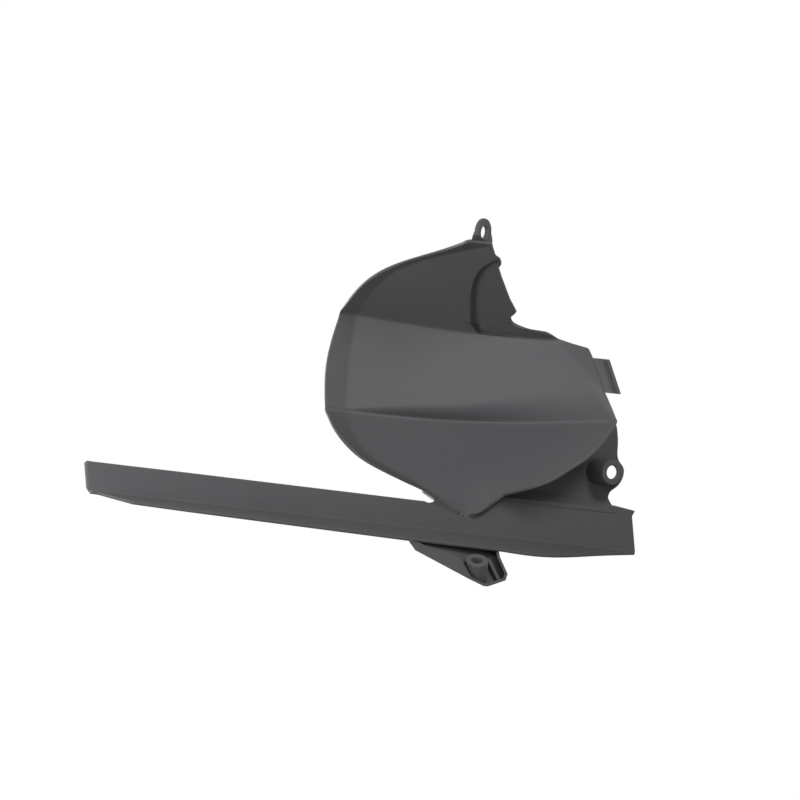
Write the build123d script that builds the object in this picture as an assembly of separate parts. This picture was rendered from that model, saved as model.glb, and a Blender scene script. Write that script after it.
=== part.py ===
from build123d import *
import math
import os
from dataclasses import astuple, dataclass

# Rear hugger mudguard with its chain guard: one plastic moulding.
# Sizes are in millimetres. The bike frame has +X forward, +Y to the bike's left and +Z up.
# The tyre shell is drawn in the tool frame, whose z axis is the draw of the mould. Its origin is the
# crown of the arch on the wheel's mid plane, so the axle lies crown_radius below it and runs along y.

# Wall, draw and the crown's place on the bike
wall = 2.2
draw_tilt = 38.0
crown_place = Vector(206.25, 0, 263.98)
block_low = -350.0
block_high = 65.0
column_height = 400.0

# Tyre shell, in radial sections about the wheel axle
crown_radius = 335.0
right_wall_slope = 54.0
left_wall_slope = 49.5
wall_reach = 150.0
soft_slope = 5.0

# Pocket stepped out of the right wall; its crown strip is thinner, so its faces stay inside the shell's
pocket_step = 5.0
pocket_relief = 0.15

# Lip turned in along the rear edge, and flange at the front
lip_turn = 27.0
lip_length = 45.0
flange_turn = 12.0
flange_length = 40.0

# Chain guard plate and skirt
plate_height = 140.0
plate_rear = -149.0
plate_front = 377.0
plate_reach = 40.0
plate_overrun = 10.0
fold_rear_y = 111.5
fold_front_y = 114.5
fold_radius = 1.2
skirt_lean = 20.5
skirt_reach = 45.0

# Bridge panel and front boss
bridge_height = 150.0
bridge_foot_y = 86.0
bridge_top_y = 77.0
boss_x = 343.0
boss_y = 57.0
boss_seat_height = 130.0
boss_radius = 9.4
boss_hole_radius = 5.1
boss_end_wall = 2.6

# Rear tab and its twisted root
tab_thickness = 3.0
tab_hole_radius = 5.1
tab_tilt = 59.5
tab_half_width = 13.0
tab_shoulder = 11.5
tab_shoulder_drop = 1.0
tab_end_reach = 10.3
tab_root = 6.0
tab_q = 76.0
tab_y = -112.0
tab_drop = 8.7
neck_y = -101.5
neck_rear_q = 67.0
neck_front_q = 82.0
neck_rear_drop = 7.0
neck_front_drop = 3.0
neck_rise = 3.7

# Side lug
lug_boss_radius = 8.6
lug_hole_radius = 4.3
lug_boss_length = 16.0
lug_seat_radius = 9.6
lug_tilt = 33.0
lug_rib_set_back = 4.0

# Hose clip: the ends of its root on the flange, in plan, and the fold of the flange beside each
clip_thickness = 2.2
clip_top = Vector(165.5, -26.5)
clip_top_fold = 150.1
clip_foot = Vector(176.5, -2.2)
clip_foot_fold = 173.0

# Web from the plate to the left wall
web_plan = Vector(56, 86)
web_rear = Vector(180, 94, plate_height)
web_front = Vector(216, 104, plate_height)


@dataclass(frozen=True)
class Station:
    """One radial section of the tyre shell: degrees round the wheel, then mm across it."""

    angle: float
    crease_y: float
    soft_width: float
    facet_width: float
    facet_depth: float
    ridge_y: float


STATIONS = (
    Station(-12, -42.5, 1.5, 1.5, 0.4, 32.0),
    Station(-3, -40.5, 2.5, 2.0, 0.8, 32.0),
    Station(5, -37.5, 7.0, 9.0, 6.0, 32.0),
    Station(13, -35.5, 11.0, 14.0, 8.0, 30.5),
    Station(21, -36.0, 15.0, 24.0, 7.5, 27.0),
    Station(30, -39.0, 19.0, 34.0, 6.5, 21.5),
    Station(40, -43.0, 20.0, 32.0, 6.0, 15.0),
)
SETTLING_PASSES = 8


def polar(length, degrees):
    """Vector of a length at an angle in a section, from across the wheel towards the rim."""
    return Vector(length, 0).rotate(Axis.Z, degrees)


def section_line(station):
    """Inner line of a section from the right foot over the crown to the left foot, as (y, radius)."""
    crease_radius = crown_radius + station.soft_width * math.tan(math.radians(soft_slope))
    crease = Vector(station.crease_y, crease_radius)
    soft = Vector(station.crease_y + station.soft_width, crown_radius)
    facet = Vector(station.ridge_y - station.facet_width, crown_radius)
    ridge = Vector(station.ridge_y, crown_radius + station.facet_depth)
    right_foot = crease - polar(wall_reach, right_wall_slope)
    left_foot = ridge + polar(wall_reach, -left_wall_slope)
    return [right_foot, crease, soft, facet, ridge, left_foot]


def offset_line(points, distances):
    """The line with each run moved outwards by its own distance, and mitred corners."""
    normals = [(b - a).normalized().rotate(Axis.Z, 90) for a, b in zip(points, points[1:])]
    moved = [points[0] + normals[0] * distances[0]]
    runs = list(zip(normals, distances))
    for point, (before, first), (after, second) in zip(points[1:], runs, runs[1:]):
        cosine = before.dot(after)
        shift = before * (first - second * cosine) + after * (second - first * cosine)
        moved.append(point + shift * (1 / (1 - cosine**2)))
    return moved + [points[-1] + normals[-1] * distances[-1]]


def crossing(points, value):
    """Second coordinate where a line that climbs in its first coordinate passes a value."""
    pairs = list(zip(points, points[1:]))
    first, second = next((pair for pair in pairs if value <= pair[1].X), pairs[-1])
    return first.Y + (value - first.X) * (second.Y - first.Y) / (second.X - first.X)


def station_at(angle):
    """Section between two stations, by straight lines."""
    pairs = list(zip(STATIONS, STATIONS[1:]))
    first, second = next((pair for pair in pairs if angle <= pair[1].angle), pairs[-1])
    share = (angle - first.angle) / (second.angle - first.angle)
    return Station(*(a + (b - a) * share for a, b in zip(astuple(first), astuple(second))))


def arch_level(q, y):
    """Tool-frame height of the arch's inner face over a plan point."""
    angle = 0.0
    for _ in range(SETTLING_PASSES):
        radius = crossing(section_line(station_at(angle)), y)
        angle = math.degrees(math.asin(q / radius))
    return radius * math.cos(math.radians(angle)) - crown_radius


def place(point, angle):
    """A section point (y, radius) in the tool frame."""
    turn = math.radians(angle)
    return Vector(point.Y * math.sin(turn), point.X, point.Y * math.cos(turn) - crown_radius)


def loft_sections(lines):
    """Solid through one closed section per station."""
    wires = []
    for station, line in zip(STATIONS, lines):
        wires.append(Wire.make_polygon([place(point, station.angle) for point in line], close=True))
    return Solid.make_loft(wires)


def arch_skin(inner, outer, right_inner, right_outer):
    """The whole arch between two offsets from its inner face; the right wall has its own."""
    lines = []
    for station in STATIONS:
        line = section_line(station)
        rest = len(line) - 2
        outside = offset_line(line, [right_outer] + [outer] * rest)
        lines.append(outside + offset_line(line, [right_inner] + [inner] * rest)[::-1])
    return loft_sections(lines)


def right_wall_skin(inner, outer):
    """The right wall alone between two offsets."""
    lines = []
    for station in STATIONS:
        line = section_line(station)[:2]
        lines.append(offset_line(line, [outer]) + offset_line(line, [inner])[::-1])
    return loft_sections(lines)


def tyre_space(depth):
    """Everything under the arch, up to a depth in its wall."""
    lines = [section_line(station) for station in STATIONS]
    return loft_sections([offset_line(line, [depth] * (len(line) - 1)) for line in lines])


def prism(outline):
    """Block along the draw over a plan outline."""
    face = outline if isinstance(outline, (Face, Sketch)) else make_face(outline)
    return extrude(Pos(0, 0, block_low) * face, amount=block_high - block_low)


def column(outline):
    """Block up the bike's Z axis over a plan outline."""
    return extrude(make_face(outline), amount=column_height)


def between(block, low_plane, high_plane):
    """The part of a block between two planes that face away from the wheel."""
    return split(split(block, low_plane, Keep.TOP), high_plane, Keep.BOTTOM)


def tilted(length, degrees, heading):
    """Tool-frame vector that runs forward (1) or back (-1) and climbs away from the wheel by an angle."""
    turn = math.radians(degrees)
    return Vector(heading * math.cos(turn), 0, math.sin(turn)) * length


def turned_edge(lines, direction):
    """Strip that carries the arch's cut face on past plan lines in a straight direction."""
    height = Vector(0, 0, block_high - block_low)
    sheets = [Pos(0, 0, block_low) * Face.extrude(line.edge(), height) for line in lines]
    return joined([Solid.extrude(face, direction) for sheet in sheets for face in arch.intersect(sheet)])


def joined(solids):
    """One solid from many."""
    whole = solids[0]
    for solid in solids[1:]:
        whole = whole + solid
    return whole


# Tyre shell, cut to its plan outline along the draw
rim_right = Spline((83, -103), (60, -96), (37, -88), (13, -76), (-3, -59), (-13, -40))
rim_crown = ThreePointArc((-13, -40), (-15, -8), (-13, 31))
rim_left = Spline((-13, 31), (-6, 49), (3, 60), (28, 73.5), (56, 86), (83, 103))
left_edge = Spline(
    (83, 103), (95, 98), (104, 90), (112, 83), (131, 76),
    (147, 68), (160, 58), (170, 50), (178, 41), (187, 27),
)
front_step = Polyline((187, 27), (188, 25), (190, 19))
front_fold = Spline((190, 19), (175, 0), (158, -18), (139, -38))
right_edge = Spline((139, -38), (129, -43), (115, -44), (105, -47))
notch = Polyline((105, -47), (103, -49), (102, -52), (106, -56))
right_front = Polyline(
    (106, -56), (100, -65), (92, -81), (89, -88), (91, -90), (90, -94), (86, -96), (83, -103)
)
main_outline = make_face(
    [rim_right, rim_crown, rim_left, left_edge, front_step, front_fold, right_edge, notch, right_front]
)
arch = arch_skin(0, wall, 0, wall)
body = prism(main_outline)

# Pocket in the front of the right wall
step_line = Spline((89.5, -93), (77, -84), (72.5, -74), (72.5, -52), (75, -41), (79, -35.5))
pocket_front = Polyline((79, -35.5), (82, -32.5), (145, -32.5), (145, -93), (89.5, -93))
pocket_block = prism(make_face([step_line, pocket_front]))
shell = (arch & body) - pocket_block
pocket_skin = arch_skin(pocket_relief, wall - pocket_relief, pocket_step, pocket_step + wall)
pocket = pocket_skin & pocket_block & body
step_band = prism(trace(step_line, wall))
pocket_sides = right_wall_skin(wall / 2, pocket_step + wall / 2) & step_band & body

# Rear lip
rear_right = Spline((66, -106), (51, -98.5), (36, -92), (16, -83.5), (1, -75), (-13.5, -61.5), (-25, -43))
rear_crown = ThreePointArc((-25, -43), (-32, 0), (-29, 34))
rear_left = Spline((-29, 34), (-24, 43), (-14, 55), (1, 66.5), (15, 73), (34, 80), (56, 87.5))
lip_inside = Polyline((56, 87.5), (83, 103), (110, 0), (110, -106), (66, -106))
lip_outline = make_face([rear_right, rear_crown, rear_left, lip_inside])
lip_direction = tilted(lip_length, -lip_turn, -1)
lip = turned_edge([rim_right, rim_crown, rim_left], lip_direction) & prism(lip_outline)

# Front flange
flange_front = [(139, -38.5), (162, -33), (166, -26), (178, -1), (190, 19)]
flange_outline = make_face(Polyline((120, -38.5), *flange_front, (120, 19), close=True))
flange = turned_edge([front_fold], tilted(flange_length, flange_turn, 1)) & prism(flange_outline)

# Rear tab on a twisted root that leaves the right wall's end
wall_level = arch_level(tab_q, neck_y)
tab_centre = Vector(tab_q, tab_y, wall_level - tab_drop)
tab_across = tilted(1, tab_tilt, 1)
tab_out = tilted(1, 90 - tab_tilt, -1)
tab_plane = Plane(tab_centre, x_dir=tab_across, z_dir=tab_out)
tab_sides = Polyline(
    (tab_shoulder, -tab_shoulder_drop),
    (tab_half_width, tab_root),
    (-tab_half_width, tab_root),
    (-tab_shoulder, -tab_shoulder_drop),
)
tab_end = ThreePointArc(
    (-tab_shoulder, -tab_shoulder_drop), (0, -tab_end_reach), (tab_shoulder, -tab_shoulder_drop)
)
tab_plate = extrude(tab_plane * make_face([tab_sides, tab_end]), amount=tab_thickness, dir=tab_out)
tab_bore = tab_plane * Cylinder(tab_hole_radius, 4 * tab_thickness)
foot_centre = tab_centre + Vector(0, tab_root, 0)
half_foot = tab_across * tab_half_width
foot_depth = tab_out * tab_thickness
foot_low = [foot_centre - half_foot, foot_centre + half_foot]
tab_foot = foot_low + [corner + foot_depth for corner in foot_low[::-1]]
neck_depth = Vector(0, 0, neck_rise)
neck_low = [
    Vector(neck_rear_q, neck_y, wall_level - neck_rear_drop),
    Vector(neck_front_q, neck_y, wall_level - neck_front_drop),
]
wall_end = neck_low + [corner + neck_depth for corner in neck_low[::-1]]
tab_neck = Solid.make_loft(
    [Wire.make_polygon(tab_foot, close=True), Wire.make_polygon(wall_end, close=True)], ruled=True
)

# Hose clip on the front flange: a tongue with a gutter and a lip, drawn down the flange's edge
flange_climb = math.tan(math.radians(flange_turn))


def flange_level(edge, fold_q):
    """Height of the middle of the flange's wall at a plan point, from the fold at the same y."""
    return arch_level(fold_q, edge.Y) + (edge.X - fold_q) * flange_climb + wall / 2


clip_start = Vector(clip_top.X, clip_top.Y, flange_level(clip_top, clip_top_fold))
clip_along = Vector(clip_foot.X, clip_foot.Y, flange_level(clip_foot, clip_foot_fold)) - clip_start
clip_plane = Plane(clip_start, x_dir=(1, 0, 0), z_dir=(0, -1, 0))
clip_line = Polyline((-4, -4 * flange_climb), (7.5, 7.5 * flange_climb), (9, 5), (11, 5.4), (13, 3))
clip = extrude(clip_plane * trace(clip_line, clip_thickness), amount=clip_along.length, dir=clip_along)

to_bike = Pos(crown_place) * Rot(0, draw_tilt, 0)
arch_solids = [shell, pocket, pocket_sides, lip, flange, tab_plate, tab_neck, clip]
arch_parts = [to_bike * solid for solid in arch_solids]
inside = to_bike * (tyre_space(wall / 2) & body)

# Chain guard: a bent strip along its fold, cut to its plan outline along the draw
fold_start = Vector(plate_rear, fold_rear_y, plate_height)
fold_end = Vector(plate_front, fold_front_y, plate_height)
fold_line = (fold_end - fold_start).normalized()
strip_start = fold_start - fold_line * plate_overrun
strip_length = (fold_end - fold_start).length + 2 * plate_overrun
strip_inner = [Vector(-plate_reach, 0), Vector(0, 0), polar(skirt_reach, skirt_lean - 90)]
strip_outer = offset_line(strip_inner, [wall, wall])
strip_face = make_face(
    [
        FilletPolyline(*strip_inner, radius=fold_radius),
        Line(strip_inner[-1], strip_outer[-1]),
        FilletPolyline(*strip_outer, radius=fold_radius + wall),
        Line(strip_outer[0], strip_inner[0]),
    ]
)
strip_plane = Plane(strip_start, x_dir=(0, 1, 0), z_dir=fold_line)
strip = extrude(strip_plane * strip_face, amount=strip_length, dir=fold_line)
guard_outline = Polyline(
    (-220, 150), (-200.5, 110), (-204, 91), (-202, 89.7), (55, 93.6),
    (83, 104), (112, 84), (209.3, 84.2), (207.5, 88), (220, 150), close=True,
)

# Foot of the skirt, cut square to the skirt where its outer edge shows along the draw
skirt_normal = Vector(0, 1, 0).rotate(Axis.X, skirt_lean)
skirt_inner = Plane(fold_start, x_dir=fold_line, z_dir=skirt_normal)
skirt_outer = skirt_inner.offset(wall)
draw_line = Vector(0, 0, 1).rotate(Axis.Y, draw_tilt)


def on_skirt(q, y):
    """Point of the skirt's outer face that lies on a plan point's line of draw."""
    start = (to_bike * Pos(q, y, 0)).position
    reach = (skirt_outer.origin - start).dot(skirt_normal) / draw_line.dot(skirt_normal)
    return start + draw_line * reach


foot_front = [(222, 116), (213, 117), (184.5, 120.7), (157.5, 124.6), (135, 125.9), (112, 125)]
foot_rear = [(112, 125), (43, 124.3), (-133, 120), (-176, 118.6), (-196, 114.5), (-212, 108)]
foot_top = [(-212, 108), (-212, 60), (222, 60), (222, 116)]
foot_face = make_face(
    [
        Spline(*[on_skirt(q, y) for q, y in foot_front]),
        Polyline(*[on_skirt(q, y) for q, y in foot_rear]),
        Polyline(*[on_skirt(q, y) for q, y in foot_top]),
    ]
)
foot_block = extrude(Pos(skirt_normal * wall) * foot_face, amount=plate_reach + wall, dir=-skirt_normal)
guard_block = to_bike * prism(make_face(guard_outline))
chain_guard = (strip & guard_block & foot_block) - inside

# Web from the plate up to the left wall
web_level = arch_level(web_plan.X, web_plan.Y) + wall / 2
web_top = (to_bike * Pos(web_plan.X, web_plan.Y, web_level)).position
web_out = (web_rear - web_front).cross(web_top - web_rear).normalized()
web = Solid.extrude(make_face(Polyline(web_top, web_rear, web_front, close=True)).face(), web_out * wall)

# Bridge: a stepped panel from the plate to the arch, with the hollow boss on its underside
bridge_line = [
    Vector(95, plate_height),
    Vector(bridge_foot_y, plate_height),
    Vector(bridge_top_y, bridge_height),
    Vector(15, bridge_height),
]
bridge_upper = offset_line(bridge_line[::-1], [wall] * 3)
bridge_section = make_face(Polyline(*bridge_line, *bridge_upper, close=True))
bridge_strip = extrude(Plane.YZ * bridge_section, amount=column_height)
bridge_front = Spline(
    (356.5, 77), (358, 72), (363, 68), (369, 59), (368.5, 53), (363.5, 48), (361, 36), (358, 22)
)
bridge_rest = Polyline((358, 22), (280, 22), (205, 100), (373, 100), (373, 85), (361, 82.5), (356.5, 77))
bridge = (bridge_strip & column([bridge_front, bridge_rest])) - inside
boss_height = bridge_height - boss_seat_height
boss_seat = Pos(boss_x, boss_y, boss_seat_height)
upwards = (Align.CENTER, Align.CENTER, Align.MIN)
boss = boss_seat * Cylinder(boss_radius, boss_height + wall, align=upwards)
boss_cavity = boss_seat * Pos(0, 0, boss_end_wall) * Cylinder(boss_radius - wall, boss_height, align=upwards)
boss_bore = boss_seat * Cylinder(boss_hole_radius, boss_height)

# Side lug: a hollow wedge outside the skirt, open at its front end, with a seated boss in the opening
lug_rim = Polyline(
    (43, 123), (49, 130.5), (92, 148), (103, 152), (106, 152),
    (119, 146), (120, 141), (113, 129), (108, 113), (46, 113), close=True,
)
lug_opening = Polyline(
    (46, 122), (58, 127), (72, 129.5), (84, 133), (93, 146), (101, 149.5),
    (106, 149.5), (117, 144.5), (117.5, 141), (111, 129.5), (106, 113), (46, 113), close=True,
)
lug_near = [(47, 122.5, -159), (85, 133, -131), (92, 148, -137)]
lug_far = [(44, 126, -149), (112, 128, -85), (106, 152, -113)]
lug_outline = make_face(lug_rim)
near_plane = Plane(Face(Wire.make_polygon(lug_near, close=True)))
far_plane = Plane(Face(Wire.make_polygon(lug_far, close=True)))
lug_plane = Plane((96, 133, -127), x_dir=(1, 0, 0), z_dir=Vector(0, 1, 0).rotate(Axis.X, lug_tilt))
lug_block = between(prism(lug_outline), near_plane, far_plane)
lug_cavity = between(prism(offset(lug_outline, -wall)), near_plane.offset(wall), far_plane.offset(-wall))
lug_mouth = split(prism(make_face(lug_opening)), far_plane.offset(-wall), Keep.BOTTOM)
lug_boss = (lug_plane * Cylinder(lug_boss_radius, lug_boss_length, align=upwards)) & prism(lug_outline)
lug_rib_line = Line((104, 131), (114, 147))
lug_rib = between(prism(trace(lug_rib_line, wall)), near_plane.offset(lug_rib_set_back), far_plane)
lug_bore = lug_plane * Cylinder(lug_hole_radius, 4 * lug_boss_length)
lug_seat = lug_plane * Pos(0, 0, lug_boss_length) * Cylinder(lug_seat_radius, lug_boss_length, align=upwards)
lug_body = lug_block - lug_cavity - lug_mouth + lug_boss + lug_rib - lug_bore - lug_seat
lug = split(to_bike * lug_body, skirt_inner.offset(wall / 2), Keep.TOP)

holes = [boss_cavity, boss_bore, to_bike * tab_bore]
guard = joined(arch_parts + [chain_guard, web, bridge, boss, lug]) - holes

os.makedirs("parts", exist_ok=True)
export_step(Pos(-boss_x, -boss_y, -boss_seat_height) * guard, "parts/mudguard.step")
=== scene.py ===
"""Rear hugger mudguard in black moulded plastic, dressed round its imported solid.

The row frame is in metres: +X forward along the bike, +Y to the bike's left, +Z up, with the origin at
the seat of the front boss. Shapes are worked out in millimetres in the bike frame, whose origin SEAT
undoes. The arch is read in the tool frame: q and y are its plan, and level is the height along the draw
of the mould, from the crown. The camera looks up the draw into the underside of the guard.
"""
import logging
from dataclasses import dataclass
from enum import Enum
from typing import Any

import bpy
import numpy as np
from mathutils import Matrix, Vector


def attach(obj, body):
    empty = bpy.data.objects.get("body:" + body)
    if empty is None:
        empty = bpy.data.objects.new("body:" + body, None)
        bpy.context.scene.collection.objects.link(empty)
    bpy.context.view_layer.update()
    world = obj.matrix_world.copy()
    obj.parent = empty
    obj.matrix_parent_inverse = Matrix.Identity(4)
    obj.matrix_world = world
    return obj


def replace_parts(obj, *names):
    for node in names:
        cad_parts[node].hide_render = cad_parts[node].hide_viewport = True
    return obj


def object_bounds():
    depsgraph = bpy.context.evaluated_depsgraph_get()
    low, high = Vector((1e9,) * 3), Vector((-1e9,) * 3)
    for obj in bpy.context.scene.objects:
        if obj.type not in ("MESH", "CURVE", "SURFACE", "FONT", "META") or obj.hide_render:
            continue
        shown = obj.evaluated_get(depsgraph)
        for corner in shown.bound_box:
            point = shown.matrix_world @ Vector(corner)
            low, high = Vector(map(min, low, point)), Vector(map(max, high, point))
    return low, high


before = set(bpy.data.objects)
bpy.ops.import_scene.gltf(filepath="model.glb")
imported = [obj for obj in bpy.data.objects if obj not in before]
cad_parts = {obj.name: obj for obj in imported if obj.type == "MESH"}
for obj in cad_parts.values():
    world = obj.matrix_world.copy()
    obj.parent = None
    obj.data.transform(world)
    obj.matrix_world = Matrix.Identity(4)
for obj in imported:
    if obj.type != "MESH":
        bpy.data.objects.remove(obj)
CAD_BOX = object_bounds()
BODY = "root"
NODE = "mudguard"

Array = np.ndarray
Points = tuple[tuple[float, ...], ...]
Pieces = list[bpy.types.Object]

MM = 0.001
SEAT = np.array((343.0, 57.0, 130.0))
CROWN = np.array((206.25, 0.0, 263.98))
DRAW_TILT = np.radians(38.0)
WALL = 2.2
PLATE_HEIGHT = 140.0
BOLT_HOLE = 5.1
# A q ahead of every edge, for a y at which the arch has no fold.
PAST_FRONT = 300.0

TINY = 1e-9
HALF = 0.5
CURVE_SAMPLES = 120
ROUND_SHARE = 0.48
ROUND_STEPS = 6
NOSE_STEPS = 6
TURN_STEPS = 72
SETTLING_PASSES = 8
EDGE_PASSES = 40
HALVINGS = 40

log = logging.getLogger("mudguard")


class Run(Enum):
    """How a plan line runs through its points."""

    SMOOTH = "natural spline"
    STRAIGHT = "straight lines"


def unit(vectors: Array) -> Array:
    """Vectors scaled to length one; a vector of no length stays as it is."""
    return vectors / np.maximum(np.linalg.norm(vectors, axis=-1, keepdims=True), TINY)


def hinge(reach: Array, softness: float) -> Array:
    """Soft max(reach, 0): half the sum of reach and the root of its square plus softness squared."""
    return (reach + np.sqrt(reach**2 + softness**2)) / 2


def hinge_slope(reach: Array, softness: float) -> Array:
    """Slope of the soft hinge: it climbs from 0 to 1 across the softness."""
    return (1 + reach / np.sqrt(reach**2 + softness**2)) / 2


def smooth_step(share: Array) -> Array:
    """Climb from 0 to 1 by the cubic 3t^2 - 2t^3, flat at both ends."""
    held = np.clip(share, 0.0, 1.0)
    return held * held * (3 - 2 * held)


def between(start: Array | float, end: Array | float, share: Array | float) -> Array:
    """Value at a share of the way from start to end."""
    return start + (end - start) * share


def natural_spline(knots: Array, values: Array, at: Array) -> Array:
    """Natural cubic spline: between knots a cubic with matching slopes and bends, and no bend at the ends.

    Args:
        knots: climbing places, one per row of values.
        values: rows of numbers.
        at: places to read, of any shape.

    Returns:
        One row of numbers per place.
    """
    gaps = np.diff(knots)
    inner = np.arange(1, len(knots) - 1)
    matrix = np.eye(len(knots))
    matrix[inner, inner - 1] = gaps[:-1]
    matrix[inner, inner] = 2 * (gaps[:-1] + gaps[1:])
    matrix[inner, inner + 1] = gaps[1:]
    sides = np.zeros_like(values)
    sides[1:-1] = 6 * np.diff(np.diff(values, axis=0) / gaps[:, None], axis=0)
    bends = np.linalg.solve(matrix, sides)
    low = np.clip(np.searchsorted(knots, at) - 1, 0, len(knots) - 2)
    gap = gaps[low][..., None]
    after = (at - knots[low])[..., None] / gap
    before = 1 - after
    curl = (before**3 - before) * bends[low] + (after**3 - after) * bends[low + 1]
    return before * values[low] + after * values[low + 1] + curl * gap**2 / 6


def drawn(run: Run, points: Points) -> Array:
    """Points of a plan line: as given, or a natural spline by the length of its chords.

    Args:
        run: how the line runs.
        points: what it runs through.

    Returns:
        The line's points, as rows.
    """
    corners = np.array(points, float)
    if run is Run.STRAIGHT:
        return corners
    chords = np.linalg.norm(np.diff(corners, axis=0), axis=1)
    places = np.concatenate([[0.0], np.cumsum(chords)])
    return natural_spline(places, corners, np.linspace(0.0, places[-1], CURVE_SAMPLES))


def rounded(points: Points | Array, radius: float, closed: bool) -> Array:
    """Lines with parabolas at their corners, each a radius long to either side, or nearly to mid side.

    A parabola's points are (1 - t)^2 of its start, 2t(1 - t) of its corner and t^2 of its end.

    Args:
        points: corners in order, in the last two axes.
        radius: how far from its corner a parabola starts and ends.
        closed: whether the last corner joins the first.

    Returns:
        The points of the rounded lines.
    """
    corners = np.array(points, float)
    ends = []
    for step in (1, -1):
        side = np.roll(corners, step, axis=-2) - corners
        length = np.linalg.norm(side, axis=-1, keepdims=True)
        ends.append((corners + unit(side) * np.minimum(radius, ROUND_SHARE * length))[..., None, :])
    share = np.linspace(0.0, 1.0, ROUND_STEPS)[:, None]
    bends = ends[0] * (1 - share) ** 2 + ends[1] * share**2
    bends = bends + corners[..., None, :] * 2 * share * (1 - share)
    shape = (*corners.shape[:-2], -1, corners.shape[-1])
    if closed:
        return bends.reshape(shape)
    inner = bends[..., 1:-1, :, :].reshape(shape)
    return np.concatenate([corners[..., :1, :], inner, corners[..., -1:, :]], axis=-2)


@dataclass(frozen=True)
class PlanLine:
    """A line in the plan that has one q at each y."""

    line: Array

    @staticmethod
    def through(*runs: tuple[Run, Points]) -> "PlanLine":
        """Join runs that meet end to end and climb in y."""
        whole = np.vstack([drawn(run, points) for run, points in runs])
        return PlanLine(whole[np.argsort(whole[:, 1], kind="stable")])

    def at(self, y: Array) -> Array:
        """q of the line at each y, held at the ends."""
        return np.interp(y, self.line[:, 1], self.line[:, 0])


def from_tool(q: Array, y: Array, level: Array) -> Array:
    """Bike-frame points of the tool frame: turned by the draw's tilt and put at the crown."""
    cosine, sine = np.cos(DRAW_TILT), np.sin(DRAW_TILT)
    return np.stack([q * cosine + level * sine, y, level * cosine - q * sine], axis=-1) + CROWN


def draw_level(q: Array, height: Array) -> Array:
    """Level at which a place q lies at a bike-frame height: the turn by the draw's tilt, undone."""
    return (height - CROWN[2] + q * np.sin(DRAW_TILT)) / np.cos(DRAW_TILT)


def from_tool_rows(points: Array) -> Array:
    """Bike-frame points of tool-frame ones whose last axis is (q, y, level)."""
    return from_tool(*np.moveaxis(points, -1, 0))


def numbered(grid: Array) -> Array:
    """Vertex numbers of a grid of points, row by row."""
    return np.arange(grid.shape[0] * grid.shape[1]).reshape(grid.shape[:2])


def quads(index: Array) -> Array:
    """Faces of a grid of vertex numbers, one per cell."""
    corners = (index[:-1, :-1], index[:-1, 1:], index[1:, 1:], index[1:, :-1])
    return np.stack(corners, axis=-1).reshape(-1, 4)


def placed(name: str, data: bpy.types.ID) -> bpy.types.Object:
    """Put a mesh, lamp or camera into the scene.

    Args:
        name: the object's name.
        data: what the object shows.

    Returns:
        The new object, at the origin.
    """
    piece = bpy.data.objects.new(name, data)
    bpy.context.scene.collection.objects.link(piece)
    return piece


@dataclass
class Form:
    """Vertices in the bike frame and four-sided faces."""

    points: Array
    faces: Array

    def outwards(self) -> "Form":
        """Turn the faces outwards: the volume summed from their corners has to be positive.

        Returns:
            The same form, or one with its faces turned round.
        """
        a, b, c, d = (self.points[self.faces[:, corner]] for corner in range(4))
        volume = np.sum(a * np.cross(b, c)) + np.sum(a * np.cross(c, d))
        return self if volume > 0 else Form(self.points, self.faces[:, ::-1])

    def add(self, name: str, material: bpy.types.Material) -> bpy.types.Object:
        """Put the form into the scene as a piece of the guard.

        Args:
            name: the piece's name.
            material: its finish.

        Returns:
            The new object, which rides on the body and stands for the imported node.
        """
        form = self.outwards()
        mesh = bpy.data.meshes.new(name)
        mesh.from_pydata(((form.points - SEAT) * MM).tolist(), [], form.faces.tolist())
        mesh.shade_smooth()
        mesh.materials.append(material)
        piece = placed(name, mesh)
        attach(piece, BODY)
        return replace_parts(piece, NODE)


def shell(inner: Array, outer: Array, nose: float, ring: bool = False) -> Form:
    """Closed shell between two grids of points, with a half-round nose along its free edges.

    The nose is half an ellipse from the inner to the outer edge, pushed outwards along the grid.

    Args:
        inner: rows x columns x 3 points of one face.
        outer: the other face, point for point.
        nose: how far the edge is pushed out, in mm.
        ring: whether the last column meets the first.

    Returns:
        The closed form.
    """
    index = numbered(inner)
    size = index.size
    middle = (inner + outer) / 2
    away = np.zeros_like(middle)
    away[0] += unit(middle[0] - middle[1])
    away[-1] += unit(middle[-1] - middle[-2])
    if ring:
        index = np.hstack([index, index[:, :1]])
        edges = [index[0], index[-1, ::-1]]
    else:
        away[:, 0] += unit(middle[:, 0] - middle[:, 1])
        away[:, -1] += unit(middle[:, -1] - middle[:, -2])
        edges = [np.concatenate([index[0], index[1:, -1], index[-1, -2::-1], index[-2::-1, 0]])]
    away = unit(away).reshape(-1, 3)
    flat_inner, flat_outer, flat_middle = (grid.reshape(-1, 3) for grid in (inner, outer, middle))
    points = [flat_inner, flat_outer]
    faces = [quads(index), quads(index)[:, ::-1] + size]
    turns = np.linspace(0.0, np.pi, NOSE_STEPS + 1)[1:-1, None, None]
    count = 2 * size
    for edge in edges:
        free = edge[:-1]
        half = (flat_inner[free] - flat_outer[free]) / 2
        noses = flat_middle[free] + half * np.cos(turns) + away[free] * nose * np.sin(turns)
        numbers = count + numbered(noses)
        strip = np.vstack([free, numbers, free + size])
        strip = np.hstack([strip, strip[:, :1]])
        points.append(noses.reshape(-1, 3))
        faces.append(quads(strip)[:, ::-1])
        count += numbers.size
    return Form(np.vstack(points), np.vstack(faces))


def ring_form(grid: Array) -> Form:
    """Closed form of a grid whose rows and columns both meet themselves, such as a turned tube."""
    index = np.pad(numbered(grid), ((0, 1), (0, 1)), mode="wrap")
    return Form(grid.reshape(-1, 3), quads(index))


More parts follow.
